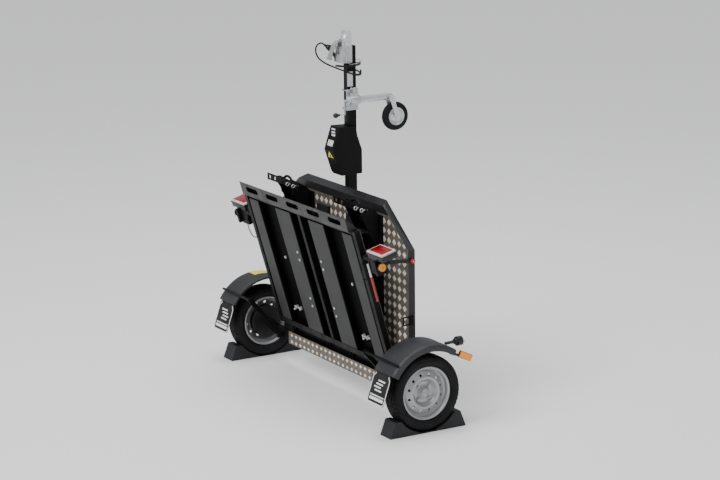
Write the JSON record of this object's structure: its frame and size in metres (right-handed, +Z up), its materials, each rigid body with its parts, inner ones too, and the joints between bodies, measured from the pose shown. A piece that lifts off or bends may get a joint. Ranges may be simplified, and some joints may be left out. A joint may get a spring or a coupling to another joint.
{
  "type": "folding motorcycle trailer",
  "caption": "Light road trailer whose deck folds at a middle hinge, stored upright on its wheels with drawbar up, wheel chocks inside and mudguards over the tyres.",
  "frame": {"origin": "on the floor, midway between the two wheels and under their axles", "axes": "+X across the trailer along the wheel axles, +Y in driving direction, +Z up"},
  "size_m": [2.474, 0.9074, 2.53],
  "materials": {
    "black_paint": "satin black powder coat",
    "rib_sheet": "satin dark grey paint",
    "tread_plate": "raised tread pattern, worn bright",
    "galvanised": "zinc plated",
    "rim_silver": "silver paint",
    "hub_steel": "dark, slightly oily",
    "tyre_rubber": "matt black",
    "flap_rubber": "matt black",
    "fender_plastic": "fine grain black",
    "black_plastic": "matt black",
    "amber_lens": "clear amber",
    "clear_lens": "clear",
    "red_lens": "red lens on a white base",
    "cradle_paint": "satin dark grey paint",
    "red_paint": "gloss red paint",
    "grey_wheel": "solid rubber tyre on a zinc rim",
    "cable_black": "soft black sheath",
    "wire_steel": "stranded wire in clear sheath"
  },
  "bodies": {
    "axle_frame": {"axle_beam": "black_paint", "hinge_lugs": "black_paint", "hinge_pins": "galvanised", "axle_apron": "tread_plate", "swing_arms": "black_paint", "fenders": "fender_plastic", "fender_arms": "black_paint", "mudflaps": "flap_rubber", "side_marker_bases": "black_plastic", "side_marker_lenses": "amber_lens", "front_lamp_bodies": "black_plastic", "front_lamp_lenses": "clear_lens", "cradles": "cradle_paint"},
    "wheel_left": {"tyre_left": "tyre_rubber", "rim_left": "rim_silver", "hub_left": "hub_steel"},
    "wheel_right": {"tyre_right": "tyre_rubber", "rim_right": "rim_silver", "hub_right": "hub_steel"},
    "front_half": {"front_frame": "black_paint", "front_deck": "tread_plate", "front_tracks": "black_paint", "drawbar": "black_paint", "chock_frames": "black_paint", "chock_bars": "black_paint", "eye_bolts": "galvanised", "lashing_eyes": "black_paint", "rubber_buffers": "flap_rubber", "winch_cover": "black_paint", "coupling_bracket": "galvanised", "coupling_head": "galvanised", "jockey_clamp": "galvanised", "plug_holder": "black_plastic", "plug": "black_plastic", "cable_gland": "black_plastic", "main_cable": "cable_black", "breakaway_wire": "wire_steel"},
    "rear_half": {"rear_frame": "black_paint", "rear_ribs": "rib_sheet", "rear_deck": "tread_plate", "rear_strip": "rib_sheet", "rear_lamps": "red_lens", "lamp_brackets": "black_paint", "lamp_cables": "cable_black", "amber_reflectors": "amber_lens", "deck_bolts": "galvanised"},
    "chock_rocker_left": {"chock_rocker_left": "black_paint"},
    "chock_rocker_right": {"chock_rocker_right": "black_paint"},
    "winch_drum": {"winch_drum": "galvanised"},
    "coupling_handle": {"coupling_handle": "galvanised"},
    "clamp_screw": {"clamp_screw": "galvanised"},
    "jockey_tube": {"jockey_tube": "galvanised"},
    "jockey_crank": {"jockey_crank": "galvanised"},
    "jockey_stem": {"jockey_stem": "galvanised"},
    "jockey_swivel": {"jockey_swivel": "galvanised"},
    "jockey_fork": {"jockey_fork": "galvanised"},
    "jockey_wheel": {"jockey_wheel": "grey_wheel"},
    "lock_strut": {"lock_strut": "red_paint"},
    "latch_left": {"latch_left": "galvanised"},
    "latch_right": {"latch_right": "galvanised"}
  },
  "joints": [
    {"name": "wheel_left_spin", "type": "hinge", "parent": "axle_frame", "child": "wheel_left", "pos_m": [-1.1, 0, 0.265], "axis": [1, 0, 0], "continuous": true},
    {"name": "wheel_right_spin", "type": "hinge", "parent": "axle_frame", "child": "wheel_right", "pos_m": [1.1, 0, 0.265], "axis": [1, 0, 0], "continuous": true},
    {"name": "front_fold", "type": "hinge", "parent": "axle_frame", "child": "front_half", "pos_m": [0, 0.022, 0.33], "axis": [1, 0, 0], "range_deg": [-90, 0]},
    {"name": "rear_fold", "type": "hinge", "parent": "axle_frame", "child": "rear_half", "pos_m": [0, 0.022, 0.33], "axis": [1, 0, 0], "range_deg": [0, 74.1]},
    {"name": "chock_rock_left", "type": "hinge", "parent": "front_half", "child": "chock_rocker_left", "pos_m": [-0.464, -0.062, 1.232], "axis": [1, 0, 0], "range_deg": [-25, 0]},
    {"name": "chock_rock_right", "type": "hinge", "parent": "front_half", "child": "chock_rocker_right", "pos_m": [0.464, -0.062, 1.232], "axis": [1, 0, 0], "range_deg": [-25, 0]},
    {"name": "winch_turn", "type": "hinge", "parent": "front_half", "child": "winch_drum", "pos_m": [0, 0.02, 1.7], "axis": [1, 0, 0], "continuous": true},
    {"name": "coupling_handle_lift", "type": "hinge", "parent": "front_half", "child": "coupling_handle", "pos_m": [0, 0.058, 2.45], "axis": [1, 0, 0], "range_deg": [-50, 0]},
    {"name": "clamp_screw_turn", "type": "hinge", "parent": "front_half", "child": "clamp_screw", "pos_m": [0.057, 0.121, 2.1], "axis": [0, 0, 1], "range_deg": [0, 360]},
    {"name": "jockey_raise", "type": "slide", "parent": "front_half", "child": "jockey_tube", "axis": [0, 1, 0], "range_m": [-0.2, 0]},
    {"name": "jockey_crank_turn", "type": "hinge", "parent": "jockey_tube", "child": "jockey_crank", "pos_m": [0.057, 0.05, 2.054], "axis": [0, 1, 0], "range_deg": [0, 6000]},
    {"name": "jockey_extend", "type": "slide", "parent": "jockey_tube", "child": "jockey_stem", "axis": [0, 1, 0], "range_m": [0, 0.1]},
    {"name": "jockey_swing", "type": "hinge", "parent": "jockey_stem", "child": "jockey_swivel", "pos_m": [0.057, 0.38, 2.054], "axis": [0, 1, 0], "continuous": true},
    {"name": "jockey_fold", "type": "hinge", "parent": "jockey_swivel", "child": "jockey_fork", "pos_m": [0.057, 0.4, 2.054], "axis": [1, 0, 0], "range_deg": [0, 72]},
    {"name": "jockey_wheel_spin", "type": "hinge", "parent": "jockey_fork", "child": "jockey_wheel", "pos_m": [0.057, 0.445, 1.912], "axis": [1, 0, 0], "continuous": true},
    {"name": "strut_release", "type": "hinge", "parent": "front_half", "child": "lock_strut", "pos_m": [0.896, 0.054, 1.104], "axis": [1, 0, 0], "range_deg": [-90, 0]},
    {"name": "latch_left_slide", "type": "slide", "parent": "rear_half", "child": "latch_left", "axis": [1, 0, 0], "range_m": [0, 0.025]},
    {"name": "latch_right_slide", "type": "slide", "parent": "rear_half", "child": "latch_right", "axis": [-1, 0, 0], "range_m": [0, 0.025]}
  ],
  "couplings": [
    {"joint": "jockey_crank_turn", "follows": "jockey_extend", "rad_per_m": 1047.2}
  ]
}
